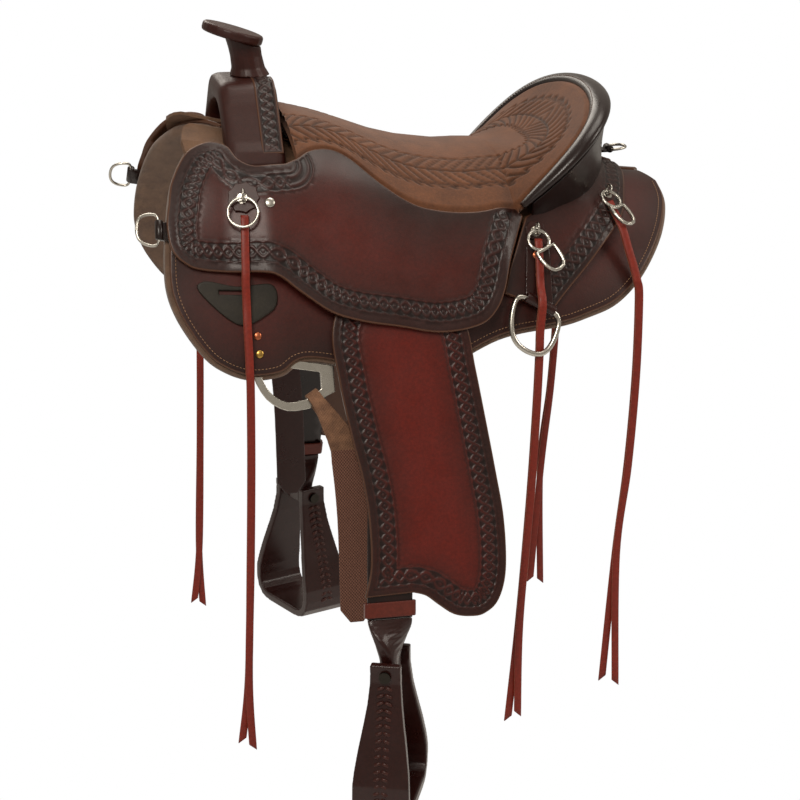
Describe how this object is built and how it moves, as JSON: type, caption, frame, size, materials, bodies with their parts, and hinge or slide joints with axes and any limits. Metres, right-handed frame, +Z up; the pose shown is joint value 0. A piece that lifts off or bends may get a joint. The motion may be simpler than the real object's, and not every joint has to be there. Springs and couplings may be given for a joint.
{
  "type": "mule saddle",
  "caption": "Western trail mule saddle with horn, quilted seat, stamped skirts and jockeys, swinging fenders and stirrups, rigging rings and tied strings.",
  "frame": {"origin": "on the middle line under the seat, where the saddle rests on a rack or on the mule's back", "axes": "+Z up, -X to the front of the saddle, -Y to its near (left) side"},
  "size_m": [0.6749, 0.7918, 0.8919],
  "materials": {
    "felt": "pressed wool felt",
    "suede": "rough suede, quilted",
    "tree_wood": "bare wood",
    "stainless": "satin stainless steel",
    "latigo_leather": "oiled red latigo leather",
    "nylon_webbing": "woven nylon with a leather end",
    "olive_leather": "oiled leather",
    "stamped_leather": "stamped and antiqued skirting leather",
    "dark_leather": "smooth dark leather"
  },
  "bodies": {
    "saddle": {"back_jockey_near": "dark_leather", "back_jockey_off": "dark_leather", "cantle_back": "dark_leather", "cantle_roll": "dark_leather", "fork_cover": "stamped_leather", "front_rigging_near": "stainless", "front_rigging_off": "stainless", "ground_seat": "dark_leather", "horn_cap": "stamped_leather", "horn_core": "stainless", "horn_wrap": "stamped_leather", "latigo_keeper": "olive_leather", "rear_rig_strap_near": "dark_leather", "rear_rig_strap_off": "dark_leather", "saddle_string_back_near": "latigo_leather", "saddle_string_back_off": "latigo_leather", "saddle_string_front_near": "latigo_leather", "saddle_string_front_off": "latigo_leather", "saddle_string_rear_near": "latigo_leather", "saddle_string_rear_off": "latigo_leather", "seat_jockey_near": "stamped_leather", "seat_jockey_off": "stamped_leather", "seat_pad": "suede", "skirt_felt_near": "felt", "skirt_felt_off": "felt", "skirt_near": "stamped_leather", "skirt_off": "stamped_leather", "string_mount_back_near": "stainless", "string_mount_back_off": "stainless", "string_mount_front_near": "stainless", "string_mount_front_off": "stainless", "string_mount_rear_near": "stainless", "string_mount_rear_off": "stainless", "tree_bar_near": "tree_wood", "tree_bar_off": "tree_wood", "tree_cantle": "tree_wood", "tree_fork": "tree_wood"},
    "fender_near": {"fender_near": "stamped_leather", "hobble_strap_near": "latigo_leather"},
    "stirrup_leather_near": {"stirrup_leather_near": "dark_leather"},
    "stirrup_near": {"stirrup_near": "dark_leather", "stirrup_bolt_near": "stainless"},
    "rear_dee_near": {"rear_dee_near": "stainless"},
    "breast_dee_near": {"breast_dee_near": "stainless"},
    "string_ring_front_near": {"string_ring_front_near": "stainless"},
    "string_ring_rear_near": {"string_ring_rear_near": "stainless"},
    "string_ring_back_near": {"string_ring_back_near": "stainless"},
    "latigo": {"latigo": "nylon_webbing"},
    "fender_off": {"fender_off": "stamped_leather", "hobble_strap_off": "latigo_leather"},
    "stirrup_leather_off": {"stirrup_leather_off": "dark_leather"},
    "stirrup_off": {"stirrup_off": "dark_leather", "stirrup_bolt_off": "stainless"},
    "rear_dee_off": {"rear_dee_off": "stainless"},
    "breast_dee_off": {"breast_dee_off": "stainless"},
    "string_ring_front_off": {"string_ring_front_off": "stainless"},
    "string_ring_rear_off": {"string_ring_rear_off": "stainless"},
    "string_ring_back_off": {"string_ring_back_off": "stainless"},
    "off_billet": {"off_billet": "dark_leather"},
    "crupper_dee": {"crupper_dee": "stainless"}
  },
  "joints": [
    {"name": "fender_swing_near", "type": "hinge", "parent": "saddle", "child": "fender_near", "pos_m": [-0.045, -0.16206, -0.02679], "axis": [0, -0.8829, 0.4695], "range_deg": [-6, 12]},
    {"name": "stirrup_turn_near", "type": "hinge", "parent": "fender_near", "child": "stirrup_leather_near", "pos_m": [-0.079, -0.31398, -0.46928], "axis": [0, -0.2756, -0.9613], "range_deg": [-25, 25]},
    {"name": "stirrup_swing_near", "type": "hinge", "parent": "stirrup_leather_near", "child": "stirrup_near", "pos_m": [-0.079, -0.31839, -0.52666], "axis": [0.3746, 0.9272, 0], "range_deg": [-20, 20]},
    {"name": "rear_dee_swing_near", "type": "hinge", "parent": "saddle", "child": "rear_dee_near", "pos_m": [0.12472, -0.21029, -0.12489], "axis": [-0.8758, 0.1083, 0.4704], "range_deg": [0, 90]},
    {"name": "breast_dee_swing_near", "type": "hinge", "parent": "saddle", "child": "breast_dee_near", "pos_m": [-0.32037, -0.16445, -0.02511], "axis": [-0.0554, -0.5327, -0.8445], "range_deg": [0, 90]},
    {"name": "string_ring_swing_front_near", "type": "hinge", "parent": "saddle", "child": "string_ring_front_near", "pos_m": [-0.22275, -0.17342, 0.01146], "axis": [-0.9805, 0.1967, 0.0031], "range_deg": [0, 90]},
    {"name": "string_ring_swing_rear_near", "type": "hinge", "parent": "saddle", "child": "string_ring_rear_near", "pos_m": [0.12998, -0.17761, -0.04363], "axis": [-0.997, -0.0184, 0.0753], "range_deg": [0, 90]},
    {"name": "string_ring_swing_back_near", "type": "hinge", "parent": "saddle", "child": "string_ring_back_near", "pos_m": [0.23439, -0.12451, -0.01181], "axis": [-0.9469, -0.117, 0.2993], "range_deg": [0, 90]},
    {"name": "latigo_swing", "type": "hinge", "parent": "saddle", "child": "latigo", "pos_m": [-0.15159, -0.23178, -0.21827], "axis": [-0.8552, -0.1773, -0.487], "range_deg": [-8, 3]},
    {"name": "fender_swing_off", "type": "hinge", "parent": "saddle", "child": "fender_off", "pos_m": [-0.045, 0.16206, -0.02679], "axis": [0, -0.8829, -0.4695], "range_deg": [-6, 12]},
    {"name": "stirrup_turn_off", "type": "hinge", "parent": "fender_off", "child": "stirrup_leather_off", "pos_m": [-0.079, 0.31398, -0.46928], "axis": [0, 0.2756, -0.9613], "range_deg": [-25, 25]},
    {"name": "stirrup_swing_off", "type": "hinge", "parent": "stirrup_leather_off", "child": "stirrup_off", "pos_m": [-0.079, 0.31839, -0.52666], "axis": [0.3746, -0.9272, 0], "range_deg": [-20, 20]},
    {"name": "rear_dee_swing_off", "type": "hinge", "parent": "saddle", "child": "rear_dee_off", "pos_m": [0.12472, 0.21029, -0.12489], "axis": [0.8758, 0.1083, -0.4704], "range_deg": [0, 90]},
    {"name": "breast_dee_swing_off", "type": "hinge", "parent": "saddle", "child": "breast_dee_off", "pos_m": [-0.32037, 0.16445, -0.02511], "axis": [0.0554, -0.5327, 0.8445], "range_deg": [0, 90]},
    {"name": "string_ring_swing_front_off", "type": "hinge", "parent": "saddle", "child": "string_ring_front_off", "pos_m": [-0.22275, 0.17342, 0.01146], "axis": [0.9805, 0.1967, -0.0031], "range_deg": [0, 90]},
    {"name": "string_ring_swing_rear_off", "type": "hinge", "parent": "saddle", "child": "string_ring_rear_off", "pos_m": [0.12998, 0.17761, -0.04363], "axis": [0.997, -0.0184, -0.0753], "range_deg": [0, 90]},
    {"name": "string_ring_swing_back_off", "type": "hinge", "parent": "saddle", "child": "string_ring_back_off", "pos_m": [0.23439, 0.12451, -0.01181], "axis": [0.9469, -0.117, -0.2993], "range_deg": [0, 90]},
    {"name": "off_billet_swing", "type": "hinge", "parent": "saddle", "child": "off_billet", "pos_m": [-0.15159, 0.23178, -0.21827], "axis": [0.8552, -0.1773, 0.487], "range_deg": [-8, 3]},
    {"name": "crupper_dee_swing", "type": "hinge", "parent": "saddle", "child": "crupper_dee", "pos_m": [0.27, 0, 0.0175], "axis": [0, -1, 0], "range_deg": [0, 90]}
  ]
}
